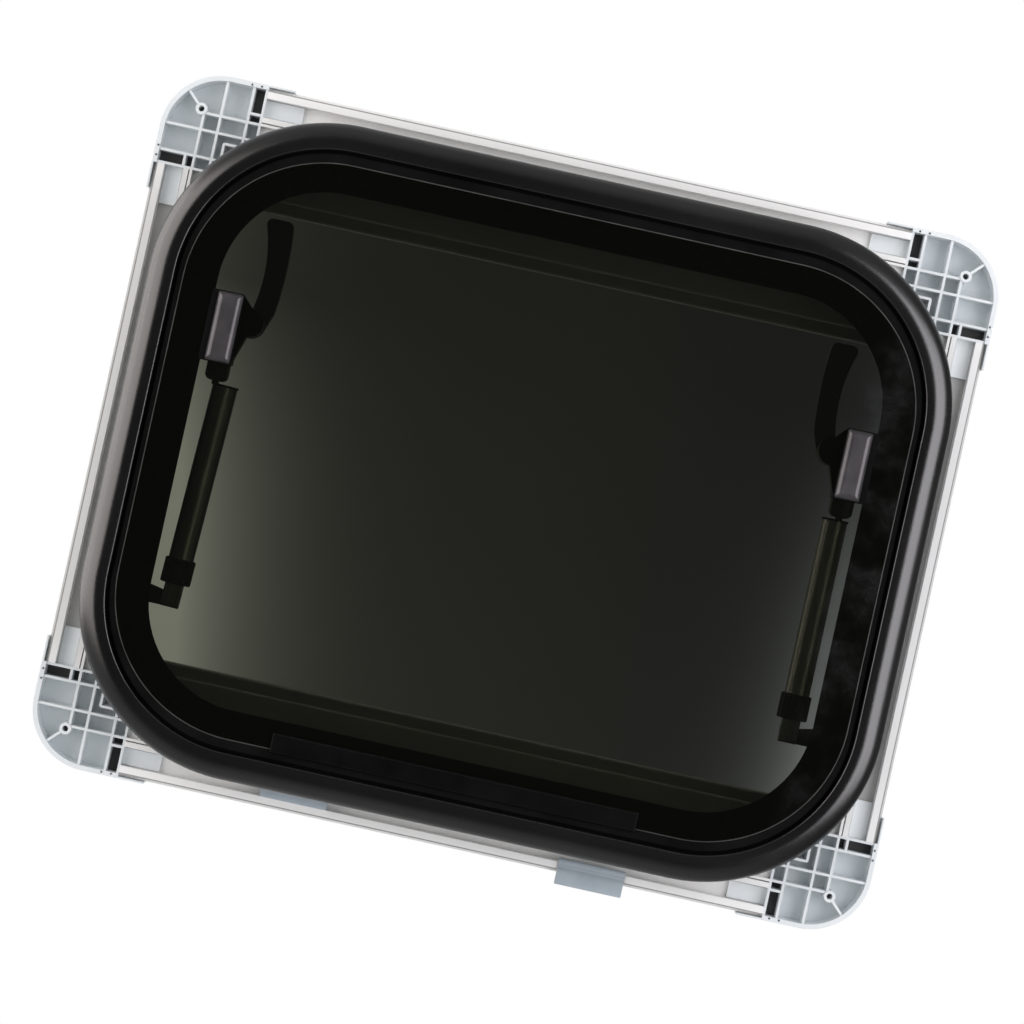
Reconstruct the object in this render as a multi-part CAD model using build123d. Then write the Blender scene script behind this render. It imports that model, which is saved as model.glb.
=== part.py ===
from build123d import *
import math
import os

# Top-hung caravan window, closed. Millimetres.
# X runs along the width, to the right seen from outside. Y runs into the room. Z is up.
# The origin is the centre of the opening, in the plane of the wall's outer skin.

# Wall and opening
OPENING_W = 500.0
OPENING_H = 400.0
WALL_T = 30.0

# Outer frame: bull-nosed lip on the wall, a ledge behind the pane; a sleeve goes through the wall
LIP_OVERLAP = 22.5
LIP_W = 19.0
LIP_H = 15.0
LIP_FOOT = 1.2
LIP_INNER_DROP = 0.3
LIP_EDGE_R = 0.8
LIP_BOW = 0.08
FRAME_R = 120.0
SLEEVE_GAP = 1.5
SLEEVE_T = 3.0
SLEEVE_SINK = 1.0
SLEEVE_SEAT = 0.3
LEDGE_W = 17.0
LEDGE_T = 2.0

# Pane, its printed border and its rubbers
GLASS_T = 5.0
GLASS_EDGE = 0.8
GASKET_SIDE = 5.5
GASKET_END = 8.5
GASKET_DROP = 1.5
RUBBER_GAP = 0.2
FRIT_T = 0.3
FRIT_INSET = 1.0
FRIT_SIDE = 23.0
FRIT_END = 19.5
FRIT_CORNER_R = 72.0
SEAL_T = 3.2
SEAL_LEDGE_INSET = 1.5

# Hinge along the top edge
HINGE_L = 248.0
HINGE_BAR_H = 13.0
HINGE_BAR_T = 2.2
HINGE_BAR_EDGE = 0.7
HINGE_BAR_OVER = 1.5
HINGE_LEAF_T = 2.0
HINGE_LEAF_H = 15.0
HINGE_SASH_LEAF_H = 6.0
HINGE_AXIS_Y = 5.5
HINGE_AXIS_DROP = 5.0
HINGE_KNUCKLE_R = 4.0
HINGE_PIN_R = 2.0
HINGE_RUN = 0.05
HINGE_KNUCKLES = 9
HINGE_KNUCKLE_GAP = 0.4

# Latches: a cover outside, a gasket under it, a body inside and a turning handle
LATCH_FRIT_GAP = 3.1
LATCH_UP = 146.3
COVER_W = 16.8
COVER_H = 46.4
COVER_T = 5.0
COVER_ROUND = 4.2
COVER_CORNER = 1.2
PAD_T = 0.8
PAD_OVER = 0.8
PAD_FRIT_OVER = 1.2
BODY_T = 11.0
BODY_FRIT_GAP = 0.4
SEAT_H = 12.0
PIVOT_OUT = 15.0
PIVOT_DROP = 29.8
HUB_R = 9.6
HUB_PIN_R = 2.5
HUB_RUN = 0.05
PIN_HEAD_R = 4.5
PIN_HEAD_T = 1.5
HANDLE_T = 10.0
HANDLE_L = 72.0
HANDLE_SHOULDER = 13.8
HANDLE_SHOULDER_DROP = 9.8
HANDLE_BOW = 15.2
HANDLE_BOW_DROP = 25.0
HANDLE_WAIST = 1.9
HANDLE_WAIST_DROP = 30.0
HANDLE_CROTCH = 0.8
CROTCH_ROUND = 1.5
GRIP_IN = 13.9
GRIP_OUT = 5.2
GRIP_ROUND = 4.0
HANDLE_EDGE = 1.5
SEAT = 0.3

# Telescopic stays
STAY_IN = 2.2
STAY_Y = 9.0
STAY_PIVOT_UP = 7.5
STAY_LEAN_LEFT = 0.0
STAY_LEAN_RIGHT = 2.0
TUBE_R = 8.5
TUBE_WALL = 1.5
CAP_R = 9.1
CAP_T = 1.4
COLLAR_R = 10.3
COLLAR_H = 17.0
COLLAR_EDGE = 1.0
COLLAR_GRIPS = 16
COLLAR_GRIP_R = 1.1
ROD_R = 4.0
ROD_END = 16.0
ROD_EYE = 12.0
ROD_EYE_D = 10.0
ROD_EYE_ROUND = 3.0
ROD_STOP = 27.0
SLIDE_RUN = 0.3
BORE_OVER = 1.0
KNOB_W = 14.5
KNOB_D = 15.0
KNOB_H = 12.2
KNOB_ROUND = 4.0
NECK_R = 2.5
NECK_H = 1.6
LUG_H = 15.0
LUG_TIP = 10.0
LUG_T = 10.0
LUG_PAD_T = 3.0
LUG_PAD_DROP = 8.0
LUG_PIN_R = 2.5
LUG_PAD_H = 34.0
LUG_PAD_W = 16.0

# Inner frame on the wall's inner skin: corner pieces, rails, cassettes
INNER_OVERLAP = 40.0
INNER_H = 20.0
INNER_R = 42.0
INNER_EDGE = 4.0
SKIN_T = 3.0
RIB_T = 1.8
RIB_DROP = 1.0
OUTER_WALL_T = 3.2
BOSS_IN = 25.2
BOSS_R = 4.0
SCREW_R = 2.0
RIB_WEB = 21.1
RIB_NEAR = 27.4
RIB_MID = 38.9
RIB_STEP = 46.0
RIB_END = 57.2
CORNER_L = 67.0
STAIR_CUT = 2.5
SKIRT_L = 17.4
SKIRT_T = 1.2
TONGUE_L = 26.0
TONGUE_T = 2.5
PEG_R = 0.8
PEG_DEEP = 3.0
PEG_IN = 2.0
PEG_NEAR = 55.3
PEG_FAR = 62.0
SIDE_RAIL_W = 58.0
END_RAIL_W = 35.0
RAIL_WALL = 2.0
RIM_W = 2.0
RIM_DEEP = 6.0
STRIP_W = 5.8
CHANNEL_W = 12.2
CHANNEL_DEEP = 10.0
GROOVE_W = 0.8
GROOVE_DEEP = 6.0
BAND_W = 3.6
LAND_DEEP = 5.0
GUIDE_W = 5.0
GUIDE_DEEP = 8.0
CASSETTE_W = 41.0
CASSETTE_T = 2.0
CASSETTE_BACK = 1.0
CASSETTE_ROUND = 2.0
BAR_W = 8.0
BAR_T = 12.0
BAR_ROUND = 2.0
FIT = 0.3
KEY_H = 6.0

# Clips on the top rail
CLIP_X = 103.5
CLIP_W = 46.0
CLIP_H = 18.0
CLIP_T = 2.5
CLIP_ROUND = 1.6
CLIP_OUT = 6.0
CLIP_IN = 9.0

# Worked out from the sizes above
FRAME_W = OPENING_W + 2 * LIP_OVERLAP
FRAME_H = OPENING_H + 2 * LIP_OVERLAP
GLASS_W = FRAME_W - 2 * (LIP_W + GASKET_SIDE)
GLASS_H = FRAME_H - 2 * (LIP_W + GASKET_END)
GLASS_R = FRAME_R - LIP_W - GASKET_SIDE
LEDGE_Y = -SLEEVE_SINK - LEDGE_T
FRIT_Y = LEDGE_Y - SEAL_T
FRIT_IN_X = GLASS_W / 2 - FRIT_SIDE
GLASS_BACK_Y = FRIT_Y - FRIT_T
GLASS_FRONT_Y = GLASS_BACK_Y - GLASS_T
GASKET_TOP_Y = GLASS_FRONT_Y + GASKET_DROP
REBATE_W = FRAME_W - 2 * LIP_W
REBATE_H = FRAME_H - 2 * LIP_W
REBATE_R = FRAME_R - LIP_W
SLEEVE_W = OPENING_W - 2 * SLEEVE_GAP
SLEEVE_H = OPENING_H - 2 * SLEEVE_GAP
SLEEVE_R = FRAME_R - LIP_OVERLAP - SLEEVE_GAP
SLEEVE_IN_X = SLEEVE_W / 2 - SLEEVE_T
SLEEVE_IN_Z = SLEEVE_H / 2 - SLEEVE_T
SLEEVE_IN_R = SLEEVE_R - SLEEVE_T
LATCH_X = FRIT_IN_X - LATCH_FRIT_GAP - COVER_W / 2
LATCH_TOP_Z = LATCH_UP - GLASS_H / 2
PIVOT_X = LATCH_X - PIVOT_OUT
PIVOT_Z = LATCH_TOP_Z - PIVOT_DROP
STAY_X = LATCH_X - STAY_IN
STAY_PIVOT_Z = SLEEVE_IN_Z - SLEEVE_IN_R + STAY_PIVOT_UP
STAY_BOTTOM_Z = LATCH_TOP_Z + KNOB_H + NECK_H + CAP_T
INNER_W = OPENING_W + 2 * INNER_OVERLAP
INNER_HT = OPENING_H + 2 * INNER_OVERLAP
ROOM_Y = WALL_T + INNER_H
FLOOR_Y = ROOM_Y - SKIN_T
RIB_Y = WALL_T + RIB_DROP
RAIL_IN = SKIRT_T + FIT
CHANNEL_A = OUTER_WALL_T + STRIP_W
CHANNEL_B = CHANNEL_A + CHANNEL_W
CHANNEL_Y = WALL_T + CHANNEL_DEEP
CASSETTE_Y = WALL_T + CASSETTE_BACK
SIDES = (("left", -1), ("right", 1))


def slab(outline, y0, y1):
    """Solid of a flat outline (X, Z), from depth y0 to depth y1."""
    return extrude(Plane.XZ.offset(-y1) * outline, amount=y1 - y0, dir=(0, -1, 0))


def block(x0, x1, y0, y1, z0, z1):
    """Rectangular bar between two corners."""
    middle = Pos((x0 + x1) / 2, (y0 + y1) / 2, (z0 + z1) / 2)
    return middle * Box(x1 - x0, y1 - y0, z1 - z0)


def cross_pin(radius, x, z, y0, y1):
    """Cylinder along Y."""
    return Pos(x, (y0 + y1) / 2, z) * Rot(X=90) * Cylinder(radius, y1 - y0)


def long_bar(radius, x0, x1, y, z):
    """Cylinder along X."""
    return Pos((x0 + x1) / 2, y, z) * Rot(Y=90) * Cylinder(radius, x1 - x0)


def mirrored(shape, side):
    """The right hand piece, or its mirror image for the left."""
    return shape if side > 0 else mirror(shape, about=Plane.YZ)


def save(shape, node):
    os.makedirs("parts", exist_ok=True)
    export_step(shape, "parts/" + node + ".step")


def ring_of(section, corner_x, corner_z):
    """Closed ring of one section: drawn at the right side, turned round each corner centre."""
    turn = Axis((corner_x, 0, corner_z), (0, -1, 0))
    at_corner = Pos(0, 0, corner_z) * section
    side = extrude(section, amount=corner_z)
    bend = revolve(at_corner, axis=turn, revolution_arc=90)
    end = extrude(at_corner.rotate(turn, 90), amount=corner_x, dir=(-1, 0, 0))
    quarter = side + bend + end
    half = quarter + mirror(quarter, about=Plane.YZ)
    return half + mirror(half, about=Plane.XY)


def outer_frame():
    """Bent extrusion: bull-nosed lip outside the wall and a ledge behind the pane."""
    out_x = FRAME_W / 2
    rebate_x = REBATE_W / 2
    crown_r = LIP_H - LIP_FOOT
    crest_x = out_x - crown_r
    shoulder_y = LIP_INNER_DROP - LIP_H
    ledge_x = rebate_x - LEDGE_W
    step_x = SLEEVE_W / 2 + SLEEVE_SEAT
    half = math.sqrt(0.5)
    crown = ThreePointArc(
        (out_x, -LIP_FOOT),
        (crest_x + crown_r * half, -LIP_FOOT - crown_r * half),
        (crest_x, -LIP_H),
    )
    slope = ThreePointArc(
        (crest_x, -LIP_H),
        ((crest_x + rebate_x + LIP_EDGE_R) / 2, -LIP_H + LIP_BOW),
        (rebate_x + LIP_EDGE_R, shoulder_y),
    )
    nose = ThreePointArc(
        (rebate_x + LIP_EDGE_R, shoulder_y),
        (rebate_x + LIP_EDGE_R * (1 - half), shoulder_y + LIP_EDGE_R * (1 - half)),
        (rebate_x, shoulder_y + LIP_EDGE_R),
    )
    back = Polyline(
        (rebate_x, shoulder_y + LIP_EDGE_R),
        (rebate_x, LEDGE_Y),
        (ledge_x, LEDGE_Y),
        (ledge_x, -SLEEVE_SINK),
        (step_x, -SLEEVE_SINK),
        (step_x, 0),
        (out_x, 0),
        (out_x, -LIP_FOOT),
    )
    section = make_face([crown, slope, nose, back])
    return ring_of(section, out_x - FRAME_R, FRAME_H / 2 - FRAME_R)


def sleeve_bore():
    """Outline of the way through the sleeve."""
    return RectangleRounded(2 * SLEEVE_IN_X, 2 * SLEEVE_IN_Z, SLEEVE_IN_R)


def wall_sleeve():
    """Sleeve through the wall, from the step of the ledge's back face to just short of the cassettes."""
    outside = RectangleRounded(SLEEVE_W, SLEEVE_H, SLEEVE_R)
    return slab(outside - sleeve_bore(), -SLEEVE_SINK, CASSETTE_Y - FIT)


def pane_outline(inset=0.0):
    """The pane's rounded outline, drawn in by an inset."""
    return RectangleRounded(GLASS_W - 2 * inset, GLASS_H - 2 * inset, GLASS_R - inset)


def glass_pane():
    """Flat safety glass with a ground edge."""
    pane = slab(pane_outline(), GLASS_FRONT_Y, GLASS_BACK_Y)
    return chamfer(pane.faces().sort_by(Axis.Y)[0].edges(), GLASS_EDGE)


def frit_border():
    """Printed border on the pane's inner face."""
    window = RectangleRounded(GLASS_W - 2 * FRIT_SIDE, GLASS_H - 2 * FRIT_END, FRIT_CORNER_R)
    return slab(pane_outline(FRIT_INSET) - window, GLASS_BACK_Y, FRIT_Y)


def edge_gasket():
    """Rubber band between the pane's edge and the lip, standing on the ledge."""
    outside = RectangleRounded(
        REBATE_W - 2 * RUBBER_GAP, REBATE_H - 2 * RUBBER_GAP, REBATE_R - RUBBER_GAP
    )
    return slab(outside - pane_outline(-RUBBER_GAP), GASKET_TOP_Y, LEDGE_Y)


def pane_seal():
    """Rubber ring between the pane's border and the ledge."""
    in_x = REBATE_W / 2 - LEDGE_W + SEAL_LEDGE_INSET
    in_z = REBATE_H / 2 - LEDGE_W + SEAL_LEDGE_INSET
    inside = RectangleRounded(2 * in_x, 2 * in_z, REBATE_R - LEDGE_W + SEAL_LEDGE_INSET)
    return slab(pane_outline(FRIT_INSET) - inside, FRIT_Y, LEDGE_Y)


def hinge():
    """Clamp bar on the glass, knuckled leaves on the pane and the frame, and the pin."""
    half_l = HINGE_L / 2
    bar_top = GLASS_H / 2 + HINGE_BAR_OVER
    bar = block(
        -half_l, half_l,
        GLASS_FRONT_Y - HINGE_BAR_T, GLASS_FRONT_Y,
        bar_top - HINGE_BAR_H, bar_top,
    )
    front = bar.faces().sort_by(Axis.Y)[0]
    bar = chamfer(front.edges(), HINGE_BAR_EDGE)
    ledge_z = REBATE_H / 2 - LEDGE_W
    axis_z = ledge_z - HINGE_AXIS_DROP
    leaf_back = FRIT_Y + HINGE_LEAF_T
    sash = block(-half_l, half_l, FRIT_Y, leaf_back, axis_z - HINGE_SASH_LEAF_H, axis_z)
    frame_leaf = block(
        -half_l, half_l,
        HINGE_AXIS_Y, HINGE_AXIS_Y + HINGE_LEAF_H,
        SLEEVE_IN_Z - HINGE_LEAF_T, SLEEVE_IN_Z,
    )
    pitch = HINGE_L / HINGE_KNUCKLES
    for i in range(HINGE_KNUCKLES):
        x0 = -half_l + i * pitch + HINGE_KNUCKLE_GAP / 2
        x1 = x0 + pitch - HINGE_KNUCKLE_GAP
        barrel = long_bar(HINGE_KNUCKLE_R, x0, x1, HINGE_AXIS_Y, axis_z)
        if i % 2:
            web = block(
                x0, x1,
                HINGE_AXIS_Y + HINGE_KNUCKLE_R - HINGE_LEAF_T, HINGE_AXIS_Y + HINGE_KNUCKLE_R,
                axis_z, SLEEVE_IN_Z,
            )
            frame_leaf = frame_leaf + barrel + web
        else:
            web = block(
                x0, x1,
                FRIT_Y, HINGE_AXIS_Y,
                axis_z - HINGE_KNUCKLE_R, axis_z - HINGE_KNUCKLE_R + HINGE_LEAF_T,
            )
            sash = sash + barrel + web
    bore = long_bar(HINGE_PIN_R + HINGE_RUN, -half_l, half_l, HINGE_AXIS_Y, axis_z)
    pin = long_bar(HINGE_PIN_R, -half_l, half_l, HINGE_AXIS_Y, axis_z)
    return bar, sash - bore, frame_leaf - bore, pin


def latch():
    """Right hand latch: grey cover on its gasket, body inside the pane, pivot pin, turning handle."""
    low_z = LATCH_TOP_Z - COVER_H
    middle = Pos(LATCH_X, LATCH_TOP_Z - COVER_H / 2)
    pad_y = GLASS_FRONT_Y - PAD_T
    cover_plan = RectangleRounded(COVER_W, COVER_H, COVER_CORNER)
    cover = slab(middle * cover_plan, pad_y - COVER_T, pad_y)
    crown = cover.faces().sort_by(Axis.Y)[0].edges()
    cover = fillet(crown, COVER_ROUND)
    in_x = LATCH_X - COVER_W / 2
    pad_in = in_x - PAD_OVER
    pad_out = FRIT_IN_X + PAD_FRIT_OVER
    pad_plan = RectangleRounded(pad_out - pad_in, COVER_H + 2 * PAD_OVER, COVER_CORNER)
    pad_middle = Pos((pad_in + pad_out) / 2, LATCH_TOP_Z - COVER_H / 2)
    pad = slab(pad_middle * pad_plan, pad_y, GLASS_FRONT_Y)
    out_x = FRIT_IN_X - BODY_FRIT_GAP
    body_y = GLASS_BACK_Y + BODY_T
    arm = Polygon(
        (out_x, LATCH_TOP_Z), (in_x, LATCH_TOP_Z),
        (PIVOT_X, PIVOT_Z + HUB_R), (PIVOT_X, PIVOT_Z - HUB_R),
        (in_x, low_z), (out_x, low_z),
        align=None,
    )
    hub = Pos(PIVOT_X, PIVOT_Z) * Circle(HUB_R)
    body = slab(arm + hub, GLASS_BACK_Y, body_y)
    body = body + block(
        in_x, LATCH_X + COVER_W / 2,
        GLASS_BACK_Y, STAY_Y + KNOB_D / 2,
        LATCH_TOP_Z - SEAT_H, LATCH_TOP_Z,
    )
    handle_y = body_y + SEAT
    end_y = handle_y + HANDLE_T
    pin = cross_pin(HUB_PIN_R, PIVOT_X, PIVOT_Z, body_y, end_y + SEAT)
    pin = pin + cross_pin(PIN_HEAD_R, PIVOT_X, PIVOT_Z, end_y + SEAT, end_y + SEAT + PIN_HEAD_T)
    handle = slab(handle_outline(), handle_y, end_y)
    handle = fillet(handle.faces().sort_by(Axis.Y)[-1].edges(), HANDLE_EDGE)
    handle = handle - cross_pin(HUB_PIN_R + HUB_RUN, PIVOT_X, PIVOT_Z, handle_y, end_y)
    return cover, pad, body, pin, handle


def handle_outline():
    """Hub and bowed grip, hanging down from the pivot between a broad shoulder and a square tip."""
    tip_z = PIVOT_Z - HANDLE_L
    shoulder = (PIVOT_X - HANDLE_SHOULDER, PIVOT_Z - HANDLE_SHOULDER_DROP)
    bow = (PIVOT_X - HANDLE_BOW, PIVOT_Z - HANDLE_BOW_DROP)
    heel = (PIVOT_X - GRIP_IN, tip_z)
    toe = (PIVOT_X + GRIP_OUT, tip_z)
    waist = (PIVOT_X - HANDLE_WAIST, PIVOT_Z - HANDLE_WAIST_DROP)
    crotch = (PIVOT_X + HANDLE_CROTCH, PIVOT_Z - math.sqrt(HUB_R**2 - HANDLE_CROTCH**2))
    reach = math.hypot(HANDLE_SHOULDER, HANDLE_SHOULDER_DROP)
    lean = math.acos(HANDLE_SHOULDER / reach) - math.acos(HUB_R / reach)
    brow = (PIVOT_X - HUB_R * math.cos(lean), PIVOT_Z - HUB_R * math.sin(lean))
    outline = make_face([
        ThreePointArc(shoulder, bow, heel),
        Line(heel, toe),
        ThreePointArc(toe, waist, crotch),
        ThreePointArc(crotch, (PIVOT_X + HUB_R, PIVOT_Z), brow),
        Line(brow, shoulder),
    ])
    outline = fillet(outline.vertices().sort_by(Axis.Y)[:2], GRIP_ROUND)
    return fillet(outline.vertices().sort_by_distance((*crotch, 0))[:1], CROTCH_ROUND)


def stay(lean):
    """Right hand stay: knob and cap on the latch, tube, locking collar, sliding rod and wall lug."""
    turn = Axis((STAY_X, STAY_Y, STAY_PIVOT_Z), (0, 1, 0))
    collar_top = STAY_PIVOT_Z - ROD_END / 2
    tube_top = collar_top - COLLAR_H
    tube_h = tube_top - STAY_BOTTOM_Z
    upright = Pos(STAY_X, STAY_Y, 0)
    tube = Cylinder(TUBE_R, tube_h) - Cylinder(TUBE_R - TUBE_WALL, tube_h)
    tube = upright * Pos(0, 0, STAY_BOTTOM_Z + tube_h / 2) * tube
    cap = upright * Pos(0, 0, STAY_BOTTOM_Z - CAP_T / 2) * Cylinder(CAP_R, CAP_T)
    collar = Cylinder(COLLAR_R, COLLAR_H)
    collar = fillet(collar.edges(), COLLAR_EDGE)
    with_grips = PolarLocations(COLLAR_R + COLLAR_GRIP_R / 2, COLLAR_GRIPS)
    collar = collar - with_grips * Cylinder(COLLAR_GRIP_R, COLLAR_H)
    collar = collar - Cylinder(ROD_R + SLIDE_RUN, COLLAR_H)
    collar = upright * Pos(0, 0, tube_top + COLLAR_H / 2) * collar
    rod_h = tube_h - ROD_STOP + COLLAR_H
    rod = Pos(0, 0, collar_top - rod_h / 2) * Cylinder(ROD_R, rod_h)
    eye = Box(ROD_EYE, ROD_EYE_D, ROD_END)
    eye = fillet(eye.faces().sort_by(Axis.Z)[-1].edges().filter_by(Axis.X), ROD_EYE_ROUND)
    rod = upright * (rod + Pos(0, 0, STAY_PIVOT_Z) * eye)
    tube, cap, collar, rod = [piece.rotate(turn, lean) for piece in (tube, cap, collar, rod)]
    knob_top = LATCH_TOP_Z + KNOB_H
    knob = block(
        LATCH_X - KNOB_W / 2, LATCH_X + KNOB_W / 2,
        STAY_Y - KNOB_D / 2, STAY_Y + KNOB_D / 2,
        LATCH_TOP_Z, knob_top,
    )
    knob = fillet(knob.faces().sort_by(Axis.Z)[-1].edges(), KNOB_ROUND)
    neck_h = NECK_H + CAP_T / 2
    neck = Pos(LATCH_X, STAY_Y, knob_top + neck_h / 2) * Cylinder(NECK_R, neck_h)
    lug_x0 = STAY_X + ROD_EYE / 2 + SLIDE_RUN
    pad_x = SLEEVE_IN_X - LUG_PAD_T
    pad_z = STAY_PIVOT_Z - LUG_PAD_DROP
    arm_top = STAY_PIVOT_Z + LUG_H / 2
    arm = Polygon(
        (lug_x0, arm_top), (pad_x, arm_top),
        (pad_x, arm_top - LUG_H), (lug_x0, arm_top - LUG_TIP),
        align=None,
    )
    arm = slab(arm, STAY_Y - LUG_T / 2, STAY_Y + LUG_T / 2)
    pad = block(
        pad_x, SLEEVE_IN_X,
        STAY_Y - LUG_PAD_W / 2, STAY_Y + LUG_PAD_W / 2,
        pad_z - LUG_PAD_H / 2, pad_z + LUG_PAD_H / 2,
    )
    lug = (arm + pad) & slab(sleeve_bore(), 0, WALL_T)
    pin_x = STAY_X - ROD_EYE / 2
    lug = lug + long_bar(LUG_PIN_R, pin_x, lug_x0, STAY_Y, STAY_PIVOT_Z)
    rod = rod - long_bar(LUG_PIN_R + SLIDE_RUN, pin_x - BORE_OVER, lug_x0, STAY_Y, STAY_PIVOT_Z)
    return knob + neck + cap, tube, collar, rod, lug


def inner_block():
    """Envelope of the whole inner frame, its outer edge rounded on the room side."""
    envelope = slab(RectangleRounded(INNER_W, INNER_HT, INNER_R), WALL_T, ROOM_Y)
    return fillet(envelope.faces().sort_by(Axis.Y)[-1].edges(), INNER_EDGE)


def at_corner(u0, v0, u1, v1):
    """Rectangle of the top right corner, measured inwards from the frame's two outer edges."""
    middle = Pos(INNER_W / 2 - (u0 + u1) / 2, INNER_HT / 2 - (v0 + v1) / 2)
    return middle * Rectangle(u1 - u0, v1 - v0)


def both_ways(u0, v0, u1, v1):
    """The same rectangle on the upright arm and on the level arm of the corner."""
    return at_corner(u0, v0, u1, v1) + at_corner(v0, u0, v1, u1)


def stair_cell():
    """Outline of the corner's ribbed cell: stepped towards the window, its outward steps cut off."""
    out_x = INNER_W / 2
    out_z = INNER_HT / 2
    half = RIB_T / 2
    steps = [(CORNER_L, RIB_MID + half), (RIB_END + half, RIB_STEP)]
    steps = steps + [(v, u) for u, v in reversed(steps)]
    cell = at_corner(0, 0, steps[-1][0], steps[-1][1])
    for u, v in steps[:-1]:
        cell = cell + at_corner(0, 0, u, v)
    tips = [cell.vertices().sort_by_distance((out_x - u, out_z - v, 0))[0] for u, v in steps]
    return chamfer(tips, STAIR_CUT)


def corner_piece():
    """Top right moulded corner, open to the wall: skin, outer wall, rib grid, boss, skirts, tongues."""
    out_x = INNER_W / 2
    out_z = INNER_HT / 2
    end_z = out_z - CORNER_L
    open_x = out_x - SIDE_RAIL_W
    open_z = out_z - END_RAIL_W - CASSETTE_W - BAR_W
    plan = Polygon(
        (out_x - CORNER_L, open_z), (open_x, open_z), (open_x, end_z),
        (out_x, end_z), (out_x, out_z), (out_x - CORNER_L, out_z),
        align=None,
    )
    inside = RectangleRounded(
        INNER_W - 2 * OUTER_WALL_T, INNER_HT - 2 * OUTER_WALL_T, INNER_R - OUTER_WALL_T
    )
    skirts = both_ways(0, CORNER_L, SKIRT_T, CORNER_L + SKIRT_L)
    envelope = inner_block()
    piece = envelope & slab(plan + skirts, WALL_T, ROOM_Y)
    piece = piece - slab(inside & plan, WALL_T, FLOOR_Y)
    cell = stair_cell()
    half = RIB_T / 2
    lines = cell - offset(cell, amount=-RIB_T)
    lines = lines + both_ways(0, RIB_END - half, RIB_STEP, RIB_END + half)
    lines = lines + both_ways(0, RIB_MID - half, CORNER_L, RIB_MID + half)
    lines = lines + both_ways(BOSS_IN, RIB_NEAR - half, CORNER_L, RIB_NEAR + half)
    lines = lines + both_ways(RIB_END, RIB_WEB - half, CORNER_L, RIB_WEB + half)
    boss = Pos(out_x - BOSS_IN, out_z - BOSS_IN)
    reach = math.hypot(BOSS_IN, BOSS_IN) - (math.sqrt(2) - 1) * INNER_R
    brace = boss * Rot(Z=45) * Pos(reach / 2, 0) * Rectangle(reach, RIB_T)
    ribs = slab((lines & cell) + brace, RIB_Y, FLOOR_Y) + slab(boss * Circle(BOSS_R), WALL_T, FLOOR_Y)
    piece = piece + (ribs & envelope)
    tongues = both_ways(CHANNEL_A + FIT, CORNER_L - RIB_T, CHANNEL_B - FIT, CORNER_L + TONGUE_L)
    piece = piece + slab(tongues, CHANNEL_Y - FIT - TONGUE_T, CHANNEL_Y - FIT)
    for along in (PEG_NEAR, PEG_FAR):
        for u, v in ((PEG_IN, along), (along, PEG_IN)):
            piece = piece - cross_pin(PEG_R, out_x - u, out_z - v, WALL_T, WALL_T + PEG_DEEP)
    return piece - slab(boss * Circle(SCREW_R), WALL_T, ROOM_Y)


def rail_section(width):
    """Outline of an extruded rail from its stepped outer rim inwards, as wide as its width says."""
    back = ROOM_Y - SKIN_T
    land_y = WALL_T + LAND_DEEP
    band_a = CHANNEL_B + GROOVE_W
    rib_a = band_a + BAND_W + GROOVE_W
    rib_b = rib_a + RIB_T
    rim_in = RAIL_IN + RIM_W
    rim_y = WALL_T + RIM_DEEP
    outline = Polygon(
        (RAIL_IN, rim_y), (rim_in, rim_y), (rim_in, WALL_T),
        (CHANNEL_A, WALL_T), (CHANNEL_A, CHANNEL_Y), (CHANNEL_B, CHANNEL_Y),
        (CHANNEL_B, WALL_T), (rib_b, WALL_T), (rib_b, land_y), (width, land_y),
        (width, ROOM_Y), (RAIL_IN, ROOM_Y),
        align=None,
    )
    cuts = Sketch()
    for u0, y0, u1, y1 in (
        (CHANNEL_B, WALL_T, band_a, WALL_T + GROOVE_DEEP),
        (band_a + BAND_W, WALL_T, rib_a, WALL_T + GROOVE_DEEP),
        (RAIL_IN + RAIL_WALL, rim_y + RAIL_WALL, CHANNEL_A - RAIL_WALL, back),
        (CHANNEL_A, CHANNEL_Y + RAIL_WALL, rib_a, back),
    ):
        cuts = cuts + Pos((u0 + u1) / 2, (y0 + y1) / 2) * Rectangle(u1 - u0, y1 - y0)
    return outline - cuts


def side_rail():
    """Right hand rail between the corner pieces, with the guide groove for the blind in its inner side."""
    half = INNER_HT / 2 - CORNER_L
    section = Pos(INNER_W / 2, 0) * mirror(rail_section(SIDE_RAIL_W), about=Plane.YZ)
    rail = Pos(0, 0, -half) * extrude(section, amount=2 * half)
    in_x = INNER_W / 2 - SIDE_RAIL_W
    guide_y = (WALL_T + LAND_DEEP + ROOM_Y) / 2
    guide = block(in_x, in_x + GUIDE_DEEP, guide_y - GUIDE_W / 2, guide_y + GUIDE_W / 2, -half, half)
    return (rail - guide) & inner_block()


def end_rail():
    """Top rail, running across between the corner pieces."""
    half = INNER_W / 2 - CORNER_L
    lay = Plane(origin=(-half, 0, INNER_HT / 2), x_dir=(0, 0, -1), z_dir=(1, 0, 0))
    return extrude(lay * rail_section(END_RAIL_W), amount=2 * half) & inner_block()


def cassette_and_bar():
    """Top cassette: a hollow housing open towards the window, with the pull bar parked in its mouth."""
    half = INNER_W / 2 - CORNER_L - FIT
    top = INNER_HT / 2 - END_RAIL_W
    low = top - CASSETTE_W
    housing = block(-half, half, CASSETTE_Y, ROOM_Y - FIT, low, top)
    housing = fillet(housing.faces().sort_by(Axis.Z)[0].edges().filter_by(Axis.X), CASSETTE_ROUND)
    hollow = block(
        -half, half,
        CASSETTE_Y + CASSETTE_T, ROOM_Y - FIT - CASSETTE_T,
        low, top - CASSETTE_T,
    )
    middle = (CASSETTE_Y + ROOM_Y - FIT) / 2
    bar = block(-half, half, middle - BAR_T / 2, middle + BAR_T / 2, low - BAR_W, low + BAR_W / 2)
    bar = fillet(bar.faces().sort_by(Axis.Z)[0].edges().filter_by(Axis.X), BAR_ROUND)
    return housing - hollow, bar


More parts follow.
